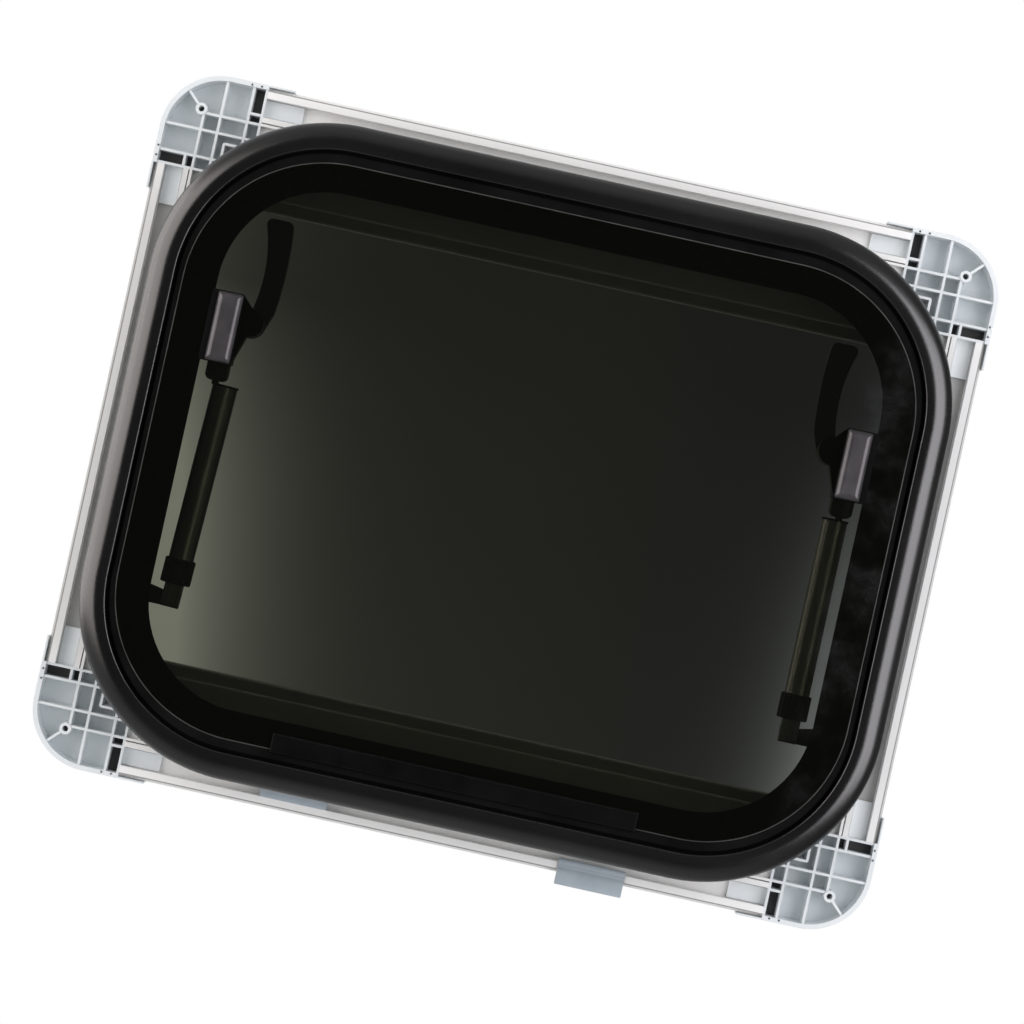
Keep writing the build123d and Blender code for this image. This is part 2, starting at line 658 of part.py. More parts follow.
def key_pair():
    """Dark keys in the slots at the two ends of the top right corner piece."""
    near = RIB_END + RIB_T / 2 + FIT
    far = CORNER_L - RIB_T - FIT
    half = RIB_T / 2 + FIT
    plan = both_ways(OUTER_WALL_T + FIT, near, RIB_WEB - half, far)
    plan = plan + both_ways(RIB_WEB + half, near, RIB_NEAR - half, far)
    return slab(plan, FLOOR_Y - KEY_H, FLOOR_Y)


def clip(side, top_z):
    """Pressed clip on the wall side of the top rail, its upper edge rounded."""
    x = side * CLIP_X
    plate = block(x - CLIP_W / 2, x + CLIP_W / 2, WALL_T - CLIP_T, WALL_T, top_z - CLIP_H, top_z)
    front = plate.faces().sort_by(Axis.Y)[0]
    return fillet(front.edges().sort_by(Axis.Z)[-1:], CLIP_ROUND)


save(outer_frame(), "outer_frame")
save(wall_sleeve(), "wall_sleeve")
save(edge_gasket(), "edge_gasket")
save(pane_seal(), "pane_seal")
save(glass_pane(), "glass_pane")
save(frit_border(), "frit_border")

for node, solid in zip(("hinge_bar", "hinge_sash_leaf", "hinge_frame_leaf", "hinge_pin"), hinge()):
    save(solid, node)

LATCH_NODES = ("latch_cover", "latch_gasket", "latch_body", "latch_pin", "latch_handle")
STAY_NODES = ("stay_knob", "stay_tube", "stay_collar", "stay_rod", "stay_lug")
LEANS = {"left": STAY_LEAN_LEFT, "right": STAY_LEAN_RIGHT}
for name, side in SIDES:
    for node, solid in zip(LATCH_NODES, latch()):
        save(mirrored(solid, side), name + "_" + node)
    for node, solid in zip(STAY_NODES, stay(LEANS[name])):
        save(mirrored(solid, side), name + "_" + node)

corner = corner_piece()
keys = key_pair()
all_keys = Part()
for name, side in SIDES:
    upper = mirrored(corner, side)
    upper_keys = mirrored(keys, side)
    save(upper, "top_" + name + "_corner")
    save(mirror(upper, about=Plane.XY), "bottom_" + name + "_corner")
    all_keys = all_keys + upper_keys + mirror(upper_keys, about=Plane.XY)
    save(mirrored(side_rail(), side), name + "_rail")
save(all_keys, "rail_keys")

save(end_rail(), "top_rail")
save(mirror(end_rail(), about=Plane.XY), "bottom_rail")
housing, bar = cassette_and_bar()
save(housing, "screen_cassette")
save(bar, "screen_bar")
save(mirror(housing, about=Plane.XY), "blind_cassette")
save(mirror(bar, about=Plane.XY), "blind_bar")
save(clip(-1, INNER_HT / 2 + CLIP_OUT), "left_clip")
save(clip(1, INNER_HT / 2 - CLIP_IN), "right_clip")
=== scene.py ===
import math

import bmesh
import bpy
from mathutils import Matrix, Vector


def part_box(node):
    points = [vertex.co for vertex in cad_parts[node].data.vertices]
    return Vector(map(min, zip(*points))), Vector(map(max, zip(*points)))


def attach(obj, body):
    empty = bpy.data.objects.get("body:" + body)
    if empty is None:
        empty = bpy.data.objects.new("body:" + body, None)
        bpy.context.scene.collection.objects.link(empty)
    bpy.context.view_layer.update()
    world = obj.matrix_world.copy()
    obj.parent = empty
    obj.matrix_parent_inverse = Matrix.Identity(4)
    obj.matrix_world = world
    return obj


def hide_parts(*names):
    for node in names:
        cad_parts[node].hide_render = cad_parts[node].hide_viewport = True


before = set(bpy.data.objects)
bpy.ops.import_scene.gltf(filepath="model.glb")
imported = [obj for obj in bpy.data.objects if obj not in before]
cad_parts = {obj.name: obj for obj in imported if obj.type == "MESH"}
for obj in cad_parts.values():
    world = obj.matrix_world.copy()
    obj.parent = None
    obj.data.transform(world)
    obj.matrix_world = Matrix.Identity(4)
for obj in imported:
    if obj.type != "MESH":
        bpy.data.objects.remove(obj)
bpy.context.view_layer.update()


# Outer frame: a bull-nosed aluminium ring with a sleeve that goes through the caravan's wall.
# It is bent from one extrusion and powder coated satin black, so it has a very fine pebbled skin
# that has been rubbed smoother where hands and cloths pass over its flat land.
PATCH_RANGE = (0.32, 0.68)
GRAIN_RANGE = (0.25, 0.75)
GRAIN_HEIGHT = 0.0002
WEAR_RANGE = (0.72, 0.985)
RUBBED_RANGE = (-0.999, -0.955)


def node(tree, kind, values=None, **settings):
    """A shader node with its settings, and a plain value or a link for each input named."""
    made = tree.nodes.new("ShaderNode" + kind)
    for setting, choice in settings.items():
        setattr(made, setting, choice)
    for socket, value in (values or {}).items():
        if isinstance(value, bpy.types.NodeSocket):
            tree.links.new(value, made.inputs[socket])
        else:
            made.inputs[socket].default_value = value
    return made


def math_of(tree, operation, first, second=0.0):
    """The result of one sum on values of the surface."""
    return node(tree, "Math", {0: first, 1: second}, operation=operation).outputs[0]


def spread(tree, value, low, high, start=0.0, end=1.0):
    """A value of the surface stretched from start and end to low and high, and kept between them."""
    values = {"Value": value, "From Min": start, "From Max": end, "To Min": low, "To Max": high}
    return node(tree, "MapRange", values).outputs[0]


def between(tree, factor, first, second):
    """A colour between two, by a value of the surface."""
    mixed = node(tree, "Mix", {0: factor, 6: first, 7: second}, data_type="RGBA")
    return mixed.outputs[2]


def facing(tree):
    """How the surface faces along its depth: -1 straight out of the caravan, 1 straight into the room."""
    normal = node(tree, "NewGeometry").outputs["Normal"]
    return node(tree, "SeparateXYZ", {0: normal}).outputs[1]


def effect_group(name, inputs, outputs):
    """An empty node group, with the nodes that its values come in and go out by."""
    tree = bpy.data.node_groups.new(name, "ShaderNodeTree")
    for label in inputs:
        tree.interface.new_socket(label, in_out="INPUT", socket_type="NodeSocketFloat")
    for label, kind in outputs.items():
        tree.interface.new_socket(label, in_out="OUTPUT", socket_type="NodeSocket" + kind)
    return tree, tree.nodes.new("NodeGroupInput").outputs, tree.nodes.new("NodeGroupOutput").inputs


def uneven_skin():
    """Soft patches from handling, and the fine grain of a coated, moulded or rubber skin."""
    tree, given, result = effect_group(
        "uneven_skin", ("Patch Scale", "Grain Scale"), {"Patches": "Float", "Grain": "Float"})
    place = node(tree, "TexCoord").outputs["Object"]
    patches = node(tree, "TexNoise", {"Vector": place, "Scale": given[0], "Detail": 4.0})
    grain = node(tree, "TexNoise", {"Vector": place, "Scale": given[1], "Detail": 2.0})
    tree.links.new(spread(tree, patches.outputs[0], 0.0, 1.0, *PATCH_RANGE), result[0])
    tree.links.new(spread(tree, grain.outputs[0], 0.0, 1.0, *GRAIN_RANGE), result[1])
    return tree


def rounded_edges():
    """Sharp edges as they leave the tool: slightly round, with a mask of where they are."""
    tree, given, result = effect_group("rounded_edges", ("Radius",), {"Normal": "Vector", "Edges": "Float"})
    eased = node(tree, "Bevel", {"Radius": given[0]}, samples=4).outputs[0]
    flat = node(tree, "NewGeometry").outputs["Normal"]
    along = node(tree, "VectorMath", {0: eased, 1: flat}, operation="DOT_PRODUCT").outputs["Value"]
    tree.links.new(eased, result[0])
    tree.links.new(spread(tree, along, 1.0, 0.0, *WEAR_RANGE), result[1])
    return tree


UNEVEN_SKIN = uneven_skin()
ROUNDED_EDGES = rounded_edges()


def placed(tree, group, **values):
    """One of the shared effects, placed in a material with its own values."""
    made = tree.nodes.new("ShaderNodeGroup")
    made.node_tree = group
    for label, value in values.items():
        made.inputs[label.replace("_", " ").title()].default_value = value
    return made.outputs


def new_finish(name, **plain):
    """A material with the values that are the same all over its surface, and its tree and shader."""
    material = bpy.data.materials.new(name)
    material.use_nodes = True
    shader = material.node_tree.nodes["Principled BSDF"]
    labels = {"ior": "IOR", "specular": "Specular IOR Level"}
    for label, value in plain.items():
        shader.inputs[labels.get(label, label.replace("_", " ").title())].default_value = value
    return material, material.node_tree, shader.inputs


def skinned(name, shades, gloss, patch, grain, pebble, edge=0.0004, worn=None, rubbed=None, **plain):
    """A coated, moulded or rubber skin: two shades, a range of roughness, grain and rounded edges.

    worn is the colour of its edges, and rubbed the share of roughness left where it faces straight out.
    """
    material, tree, shader = new_finish(name, **plain)
    skin = placed(tree, UNEVEN_SKIN, patch_scale=patch, grain_scale=grain)
    edges = placed(tree, ROUNDED_EDGES, radius=edge)
    colour = between(tree, skin["Patches"], (*shades[0], 1.0), (*shades[1], 1.0))
    if worn:
        colour = between(tree, edges["Edges"], colour, (*worn, 1.0))
    tree.links.new(colour, shader["Base Color"])
    rough = spread(tree, skin["Patches"], *gloss)
    if rubbed:
        rough = math_of(tree, "MULTIPLY", rough, spread(tree, facing(tree), rubbed, 1.0, *RUBBED_RANGE))
    tree.links.new(rough, shader["Roughness"])
    values = {"Height": skin["Grain"], "Strength": pebble, "Distance": GRAIN_HEIGHT,
              "Normal": edges["Normal"]}
    tree.links.new(node(tree, "Bump", values).outputs[0], shader["Normal"])
    return material


def dress(material, *names):
    """Gives the pieces of the frame that are named a finish."""
    for name in names:
        for material_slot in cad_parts[name].material_slots:
            material_slot.material = material


powder_coat = skinned(
    "powder_coat", ((0.003, 0.0029, 0.0029), (0.0055, 0.0052, 0.0052)), (0.25, 0.31),
    patch=9.0, grain=2600.0, pebble=0.12, edge=0.0006, worn=(0.012, 0.0115, 0.0115),
    rubbed=0.62, ior=2.1)
dress(powder_coat, "wall_sleeve")


def start_piece(name):
    """A new piece with nothing in it yet, ready to be modelled."""
    bpy.ops.object.select_all(action="DESELECT")
    piece = bpy.data.objects.new(name, bpy.data.meshes.new(name))
    bpy.context.collection.objects.link(piece)
    bpy.context.view_layer.objects.active = piece
    piece.select_set(True)
    bpy.ops.object.mode_set(mode="EDIT")
    return piece


def end_piece(piece, material, smooth=math.radians(30.0), body="frame"):
    """The modelled piece gets its outward faces, smooth curves, finish and body."""
    bpy.ops.mesh.select_all(action="SELECT")
    bpy.ops.mesh.normals_make_consistent(inside=False)
    bpy.ops.object.mode_set(mode="OBJECT")
    bpy.ops.object.shade_smooth_by_angle(angle=smooth)
    piece.data.materials.append(material)
    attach(piece, body)


CORNER_STEPS = 36
LEAST_INSET = 1e-6


def rounded_panel(width, height, radius, depth):
    """A flat panel with round corners that faces out, added to the piece and left selected."""
    centre = (0.0, depth, 0.0)
    bpy.ops.mesh.select_mode(type="FACE")
    bpy.ops.mesh.select_all(action="DESELECT")
    bpy.ops.mesh.primitive_plane_add(size=1.0, location=centre, rotation=(math.pi / 2, 0.0, 0.0))
    bpy.ops.transform.resize(value=(width, 1.0, height), center_override=centre)
    bpy.ops.mesh.bevel(offset=radius, segments=CORNER_STEPS, affect="VERTICES")


def extrude_by(x, y, z):
    """Extrudes what is selected by a distance along each axis."""
    bpy.ops.mesh.extrude_region_move(TRANSFORM_OT_translate={"value": (x, y, z)})


def step_to(profile):
    """Carries the selected panel inwards and along Y through the points of a section (inset, depth)."""
    for (inset, depth), (next_inset, next_depth) in zip(profile, profile[1:]):
        if next_inset - inset > LEAST_INSET:
            bpy.ops.mesh.inset(thickness=next_inset - inset, depth=depth - next_depth)
        else:
            extrude_by(0.0, next_depth - depth, 0.0)


def close_ring():
    """Takes out the panels that are left in the middle and closes the back of the ring."""
    bpy.ops.mesh.select_all(action="DESELECT")
    bpy.ops.mesh.select_face_by_sides(number=4, type="GREATER")
    bpy.ops.mesh.delete(type="ONLY_FACE")
    bpy.ops.mesh.select_mode(type="EDGE")
    bpy.ops.mesh.select_non_manifold()
    bpy.ops.mesh.bridge_edge_loops()


def arc_points(centre, radius, start, end, steps):
    """Points of a round stretch of a section, without its first, from one angle to another in degrees."""
    turns = [math.radians(start + (end - start) * (i + 1) / steps) for i in range(steps)]
    return [(centre[0] + radius * math.cos(t), centre[1] + radius * math.sin(t)) for t in turns]


LIP_FOOT = 0.0012
LIP_HEIGHT = 0.015
LIP_WIDTH = 0.019
LIP_CORNER = 0.120
LIP_SHOULDER = 0.0147
LIP_BEAD = 0.0008
NOSE_STEPS = 20
LAND_STEPS = 6
LAND_CURVE = 1.6
BEAD_STEPS = 6
LEDGE_REACH = 0.036
LEDGE_FRONT = -0.003
LEDGE_BACK = -0.001
lip_low, lip_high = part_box("outer_frame")
lip_width = lip_high.x - lip_low.x
lip_height = lip_high.z - lip_low.z
nose = LIP_HEIGHT - LIP_FOOT
land = LIP_WIDTH - LIP_BEAD - nose
lip_section = [(0.0, 0.0), (0.0, -LIP_FOOT)]
lip_section += arc_points((nose, -LIP_FOOT), nose, 180.0, 270.0, NOSE_STEPS)
for i in range(1, LAND_STEPS + 1):
    along = i / LAND_STEPS
    fall = (LIP_HEIGHT - LIP_SHOULDER) * along ** LAND_CURVE
    lip_section.append((nose + land * along, -LIP_HEIGHT + fall))
bead_centre = (LIP_WIDTH - LIP_BEAD, LIP_BEAD - LIP_SHOULDER)
lip_section += arc_points(bead_centre, LIP_BEAD, 270.0, 360.0, BEAD_STEPS)
lip_section += [(LIP_WIDTH, LEDGE_FRONT), (LEDGE_REACH, LEDGE_FRONT), (LEDGE_REACH, LEDGE_BACK)]
lip = start_piece("lip_ring")
rounded_panel(lip_width, lip_height, LIP_CORNER, 0.0)
step_to(lip_section)
close_ring()
end_piece(lip, powder_coat)
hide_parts("outer_frame")


# Edge gasket and pane seal: black rubber sections, pushed into the ring's rebate round the glass
# and glued behind it. The gasket has a rounded land beside the glass and a deep valley beside the lip.
rubber = skinned(
    "seal_rubber", ((0.003, 0.003, 0.003), (0.006, 0.006, 0.006)), (0.5, 0.7),
    patch=30.0, grain=3000.0, pebble=0.3, edge=0.0003, specular=0.07)
dress(rubber, "pane_seal")
GASKET_CORNER = 0.1008
GASKET_WIDTH = 0.0051
GASKET_LAND = -0.0103
GASKET_EDGE = 0.0007
GASKET_EDGE_STEPS = 5
VALLEY_WIDTH = 0.0014
VALLEY_SLOPE = 0.0004
VALLEY_DEPTH = -0.0062
gasket_low, gasket_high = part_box("edge_gasket")
pane_low, pane_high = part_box("glass_pane")
gasket_width = gasket_high.x - gasket_low.x
gasket_height = gasket_high.z - gasket_low.z
gasket_foot = gasket_high.y
side_gap = (gasket_width - (pane_high.x - pane_low.x)) / 2
end_gap = (gasket_height - (pane_high.z - pane_low.z)) / 2
edge_start = VALLEY_WIDTH + VALLEY_SLOPE
edge_foot = GASKET_LAND + GASKET_EDGE
edge_centre = (edge_start + GASKET_EDGE, edge_foot)
gasket_section = [(0.0, gasket_foot), (0.0, VALLEY_DEPTH), (VALLEY_WIDTH, VALLEY_DEPTH)]
gasket_section.append((edge_start, edge_foot))
gasket_section += arc_points(edge_centre, GASKET_EDGE, 180.0, 270.0, GASKET_EDGE_STEPS)
gasket = start_piece("gasket_ring")
rounded_panel(gasket_width, gasket_height, GASKET_CORNER, gasket_foot)
step_to(gasket_section)
bpy.ops.mesh.inset(thickness=GASKET_WIDTH - gasket_section[-1][0], depth=0.0)


def shift_ends(distance):
    """Moves the upper and lower ends of the selected panel towards each other."""
    bpy.ops.mesh.select_mode(type="VERT")
    edited = bmesh.from_edit_mesh(bpy.context.object.data)
    chosen = [vert for vert in edited.verts if vert.select]
    for end in (1.0, -1.0):
        bpy.ops.mesh.select_all(action="DESELECT")
        for vert in chosen:
            vert.select_set(vert.co.z * end > 0.0)
        edited.select_flush(True)
        bpy.ops.transform.translate(value=(0.0, 0.0, -distance * end))
    for vert in chosen:
        vert.select_set(True)
    edited.select_flush(True)
    bpy.ops.mesh.select_mode(type="FACE")


shift_ends(end_gap - side_gap)
step_to([(0.0, GASKET_LAND), (0.0, gasket_foot)])
close_ring()
end_piece(gasket, rubber)
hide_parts("edge_gasket")


# Pane: one sheet of tempered safety glass, tinted grey-green through its thickness, with ground edges.
# It is flat and wiped unevenly, and has dried finger marks over one side of its border.
MARKS_RANGE = (-0.222, -0.208)
MARK_SHARPNESS = 3.0
MARK_RIDGES = (0.1, 0.4)
GLASS_GLOSS = (0.0, 0.015)


def place_on(tree):
    """The place of a point of the piece, along X, Y and Z."""
    return node(tree, "SeparateXYZ", {0: node(tree, "TexCoord").outputs["Object"]}).outputs


def pane_glass():
    """Tinted glass whose finger marks are a rough coat, in spots over the border on the left."""
    material, tree, shader = new_finish(
        "tinted_glass", transmission_weight=0.99, ior=1.5, metallic=0.0,
        coat_roughness=0.5, coat_tint=(0.84, 0.9, 1.0, 1.0))
    skin = placed(tree, UNEVEN_SKIN, patch_scale=5.0, grain_scale=160.0)
    fingers = placed(tree, UNEVEN_SKIN, patch_scale=48.0, grain_scale=420.0)
    border = spread(tree, place_on(tree)[0], 1.0, 0.0, *MARKS_RANGE)
    spots = math_of(tree, "POWER", fingers["Patches"], MARK_SHARPNESS)
    ridged = math_of(tree, "MULTIPLY", spots, spread(tree, fingers["Grain"], *MARK_RIDGES))
    tree.links.new(math_of(tree, "MULTIPLY", border, ridged), shader["Coat Weight"])
    colour = between(tree, skin["Patches"], (0.160, 0.165, 0.128, 1.0), (0.170, 0.175, 0.137, 1.0))
    tree.links.new(colour, shader["Base Color"])
    tree.links.new(spread(tree, skin["Grain"], *GLASS_GLOSS), shader["Roughness"])
    return material


dress(pane_glass(), "glass_pane")
ground_edge = skinned(
    "ground_edge", ((0.06, 0.064, 0.06), (0.10, 0.104, 0.098)), (0.4, 0.6),
    patch=60.0, grain=1500.0, pebble=0.3)
PANE_CORNER = 0.0955
CHAMFER = 0.0008
CHAMFER_PROUD = 0.00003
edge_strip = start_piece("pane_ground_edge")
edge_width = pane_high.x - pane_low.x + 2 * CHAMFER_PROUD
edge_height = pane_high.z - pane_low.z + 2 * CHAMFER_PROUD
edge_front = pane_low.y - CHAMFER_PROUD
rounded_panel(edge_width, edge_height, PANE_CORNER + CHAMFER_PROUD, edge_front + CHAMFER)
bpy.ops.mesh.inset(thickness=CHAMFER, depth=CHAMFER)
bpy.ops.mesh.delete(type="ONLY_FACE")
bpy.ops.mesh.select_all(action="SELECT")
bpy.ops.mesh.solidify(thickness=CHAMFER_PROUD)
end_piece(edge_strip, ground_edge)


# Printed border: black ceramic ink, printed on the inner face of the pane and fired on to it.
# It hides the glue behind the glass and shields it from the sun.
ceramic_print = skinned(
    "ceramic_print", ((0.006, 0.006, 0.0065), (0.010, 0.010, 0.011)), (0.35, 0.5),
    patch=25.0, grain=1800.0, pebble=0.1, edge=0.0001)
dress(ceramic_print, "frit_border")


# Hinge: a long clamp bar on the glass, two knuckled leaves and a bright steel pin along the top edge.
# Bar and leaves are coated black, and the bar's edges are rubbed a little paler.
hinge_black = skinned(
    "hinge_black", ((0.002, 0.002, 0.002), (0.004, 0.004, 0.004)), (0.45, 0.55),
    patch=40.0, grain=2600.0, pebble=0.2, edge=0.0006, worn=(0.04, 0.04, 0.04), specular=0.08)
dress(hinge_black, "hinge_bar", "hinge_sash_leaf", "hinge_frame_leaf")
LINE_RANGE = (0.3, 0.7)
LINE_STRENGTH = 0.15
LINE_HEIGHT = 0.0001
METAL_EDGE = 0.0003
SIDE_SHADE_RANGE = (-0.8, -0.45)
SIDE_SHADE_WARMTH = 0.97


def drawn_lines():
    """The fine lines that a die or a brush leaves along a bar: many across it and few along it."""
    labels = ("Lines Across X", "Lines Across Y", "Lines Across Z")
    tree, given, result = effect_group("drawn_lines", labels, {"Lines": "Float"})
    place = node(tree, "TexCoord").outputs["Object"]
    across = node(tree, "CombineXYZ", {0: given[0], 1: given[1], 2: given[2]}).outputs[0]
    stretched = node(tree, "VectorMath", {0: place, 1: across}, operation="MULTIPLY").outputs[0]
    lines = node(tree, "TexNoise", {"Vector": stretched, "Scale": 1.0, "Detail": 3.0})
    tree.links.new(spread(tree, lines.outputs[0], 0.0, 1.0, *LINE_RANGE), result[0])
    return tree


DRAWN_LINES = drawn_lines()


def lines_along(tree, across):
    """The drawn lines, placed in a material with their number a metre across each axis."""
    x, y, z = across
    return placed(tree, DRAWN_LINES, lines_across_x=x, lines_across_y=y, lines_across_z=z)["Lines"]


def brushed_metal(name, shades, gloss, across, shaded_sides=None, **plain):
    """Bare or anodised metal with fine lines drawn along it.

    An optional level of painted shade darkens the sides that don't face out, to dim their reflections.
    """
    material, tree, shader = new_finish(name, **plain)
    lines = lines_along(tree, across)
    edges = placed(tree, ROUNDED_EDGES, radius=METAL_EDGE)
    colour = between(tree, lines, (*shades[0], 1.0), (*shades[1], 1.0))
    # Painted shade on the sides that don't face out, which dims the reflections there.
    if shaded_sides:
        side_shade = spread(tree, facing(tree), 0.0, 1.0, *SIDE_SHADE_RANGE)
        colour = between(tree, side_shade, colour, (shaded_sides, shaded_sides, SIDE_SHADE_WARMTH * shaded_sides, 1.0))
    tree.links.new(colour, shader["Base Color"])
    tree.links.new(spread(tree, lines, *gloss), shader["Roughness"])
    values = {"Height": lines, "Strength": LINE_STRENGTH, "Distance": LINE_HEIGHT, "Normal": edges["Normal"]}
    tree.links.new(node(tree, "Bump", values).outputs[0], shader["Normal"])
    return material


SIDES = ("left", "right")
pin_steel = brushed_metal(
    "pin_steel", ((0.40, 0.40, 0.41), (0.52, 0.52, 0.53)), (0.25, 0.4), (6.0, 900.0, 900.0), metallic=1.0)
dress(pin_steel, "hinge_pin", *[side + "_latch_pin" for side in SIDES])


# Hinge screws: five steel pan heads with a cross recess, which hold the frame's leaf to the sleeve.
# They are driven upwards, so that their heads look down into the opening.
SCREW_HEAD = 0.0024
SCREW_SIDES = 32
SCREW_RIM = 0.0006
SCREW_ROUND = 0.0004
SCREW_RISE = 0.0002
RECESS_RADIUS = 0.0012
RECESS_EDGE = 0.00005
RECESS_DEPTH = 0.0009
CROSS_SPREAD = 0.1
CROSS_PINCH = 0.36
SCREW_ROW = (0.0145, 0.1937)
SCREW_STEP = 0.05
SCREW_COUNT = 5
screw_at = Vector((-2 * SCREW_STEP, *SCREW_ROW))
screw = start_piece("hinge_screw_1")
bpy.ops.mesh.primitive_circle_add(vertices=SCREW_SIDES, radius=SCREW_HEAD, fill_type="NGON",
                                  location=screw_at, rotation=(math.pi, 0.0, 0.0))
bpy.ops.mesh.select_mode(type="FACE")
extrude_by(0.0, 0.0, -SCREW_RIM)
bpy.ops.mesh.inset(thickness=SCREW_ROUND, depth=SCREW_ROUND)
bpy.ops.mesh.inset(thickness=SCREW_HEAD - RECESS_RADIUS - SCREW_ROUND, depth=SCREW_RISE)
bpy.ops.mesh.inset(thickness=RECESS_EDGE, depth=0.0)


def pinch_to_cross(centre):
    """Pulls in four stretches of the selected round face, so that it is left as a cross."""
    edited = bmesh.from_edit_mesh(bpy.context.object.data)
    ring = [vert for vert in edited.verts if vert.select]
    bpy.ops.mesh.select_mode(type="VERT")
    bpy.ops.mesh.select_all(action="DESELECT")
    for vert in ring:
        turned = math.atan2(vert.co.y - centre.y, vert.co.x - centre.x)
        vert.select_set(math.cos(4.0 * turned) < CROSS_SPREAD)
    edited.select_flush(True)
    bpy.ops.transform.resize(value=(CROSS_PINCH, CROSS_PINCH, 1.0), center_override=centre)
    for vert in ring:
        vert.select_set(True)
    edited.select_flush(True)
    bpy.ops.mesh.select_mode(type="FACE")


pinch_to_cross(screw_at)
extrude_by(0.0, 0.0, RECESS_DEPTH)
end_piece(screw, pin_steel)


def copy_of(piece, name, move, body="frame"):
    """A copy of a finished piece with its own mesh, moved to its own place."""
    made = piece.copy()
    made.data = piece.data.copy()
    made.name = name
    made.data.transform(move)
    bpy.context.collection.objects.link(made)
    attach(made, body)
    return made


for i in range(1, SCREW_COUNT):
    copy_of(screw, "hinge_screw_" + str(i + 1), Matrix.Translation((i * SCREW_STEP, 0.0, 0.0)))


# Latches: a satin grey cover outside the glass, clamped through it to a black body, which carries
# a turning handle. Cover and body are moulded, and the cover sits on a thin rubber pad.
cover_grey = skinned(
    "latch_cover_grey", ((0.10, 0.095, 0.10), (0.135, 0.128, 0.135)), (0.28, 0.35),
    patch=70.0, grain=2200.0, pebble=0.1, edge=0.0004, worn=(0.2, 0.19, 0.2), metallic=0.7)
moulded_black = skinned(
    "moulded_black", ((0.006, 0.006, 0.0065), (0.011, 0.011, 0.0115)), (0.5, 0.66),
    patch=60.0, grain=1500.0, pebble=0.35, edge=0.0005, worn=(0.02, 0.02, 0.021), specular=0.3)
for side in SIDES:
    dress(cover_grey, side + "_latch_cover")
    dress(rubber, side + "_latch_gasket")
    dress(moulded_black, side + "_latch_body", side + "_latch_handle")


# Stays: on each side a drawn aluminium tube with a rod that slides in it, locked by a black collar.
# A moulded knob holds the tube at the latch, and a moulded lug holds the rod at the wall.
# The tubes' sides that don't face out get a painted shade, which dims their reflections.
stay_aluminium = brushed_metal(
    "stay_aluminium", ((0.52, 0.52, 0.49), (0.70, 0.70, 0.67)), (0.3, 0.42), (700.0, 700.0, 1.0),
    shaded_sides=0.16, metallic=1.0)
for side in SIDES:
    dress(stay_aluminium, side + "_stay_tube", side + "_stay_rod")
    dress(moulded_black, side + "_stay_knob", side + "_stay_collar", side + "_stay_lug")


# Lug screws: the same steel pan heads, one in the free end of each lug's pad.
# Each is driven sideways, so that it holds the pad to the side of the sleeve.
LUG_SCREW = (0.2427, 0.009, 0.0935)
for side, sign in zip(SIDES, (-1.0, 1.0)):
    turn = Matrix.Rotation(sign * math.pi / 2, 4, "Y")
    move = Matrix.Translation((sign * LUG_SCREW[0], *LUG_SCREW[1:])) @ turn @ Matrix.Translation(-screw_at)
    copy_of(screw, side + "_lug_screw", move)


# Corner pieces: moulded white plastic with a blue cast, ribbed on the side that faces the wall.
# Their tongues are pushed into the ends of the rails, and a screw through each boss holds it to the wall.
corner_white = skinned(
    "corner_white", ((0.74, 0.785, 0.81), (0.79, 0.825, 0.84)), (0.38, 0.5),
    patch=35.0, grain=1200.0, pebble=0.1, edge=0.0004, worn=(0.88, 0.90, 0.905))
dress(corner_white, *[level + "_" + side + "_corner" for level in ("top", "bottom") for side in SIDES])


# Screw hole caps: moulded white plugs with a dimple, nearly flush with the corner pieces' faces.
# They are pushed into the screw holes from the room.
CAP_RADIUS = 0.00194
CAP_SIDES = 32
CAP_EDGE = 0.0003
CAP_DIMPLE = 0.0011
DIMPLE_SLOPE = 0.4
DIMPLE_DEPTH = 0.0004
CAP_FROM = 0.0465
CAP_FACE = 0.0498
HOLE_X = 0.2648
HOLE_Z = 0.2148
cap = start_piece("screw_cap_top_right")
bpy.ops.mesh.primitive_circle_add(vertices=CAP_SIDES, radius=CAP_RADIUS, fill_type="NGON",
                                  location=(HOLE_X, CAP_FROM, HOLE_Z), rotation=(-math.pi / 2, 0.0, 0.0))
bpy.ops.mesh.select_mode(type="FACE")
extrude_by(0.0, CAP_FACE - CAP_EDGE - CAP_FROM, 0.0)
bpy.ops.mesh.inset(thickness=CAP_EDGE, depth=CAP_EDGE)
bpy.ops.mesh.inset(thickness=CAP_RADIUS - CAP_EDGE - CAP_DIMPLE, depth=0.0)
bpy.ops.mesh.inset(thickness=DIMPLE_SLOPE * CAP_DIMPLE, depth=-DIMPLE_DEPTH)
end_piece(cap, corner_white)
for place, shift in {
    "top_left": (-2 * HOLE_X, 0.0, 0.0),
    "bottom_right": (0.0, 0.0, -2 * HOLE_Z),
    "bottom_left": (-2 * HOLE_X, 0.0, -2 * HOLE_Z),
}.items():
    copy_of(cap, "screw_cap_" + place, Matrix.Translation(shift))


# Rails: white plastic extrusions cut square and pushed on to the corner pieces, with die lines along them.
# Painted shade darkens what lies deep and faces the wall, and a painted shadow line runs at the foot of the
# rim.
# Dark keys fill the slots at the corner pieces' ends; their near-black is painted shade for the deep slots.
RAIL_LINE_STRENGTH = 0.1
RAIL_LINE_HEIGHT = 0.0002
RAIL_EDGE = 0.0003
RAIL_GLOSS = (0.32, 0.46)
PATCH_PALER = 0.035
LINE_PALER = 0.015
WHITE_WARMTH = 0.99
SHADE_WARMTH = 0.985
SHADE_DEPTH_RANGE = (0.0305, 0.041)
SHADOW_LINE_WIDTH = 0.0006
SHADOW_LINE_CORE = 0.3
SHADOW_LINE_COVER = 0.85
SHADOW_LINE_COLOUR = (0.2, 0.2, 0.195, 1.0)


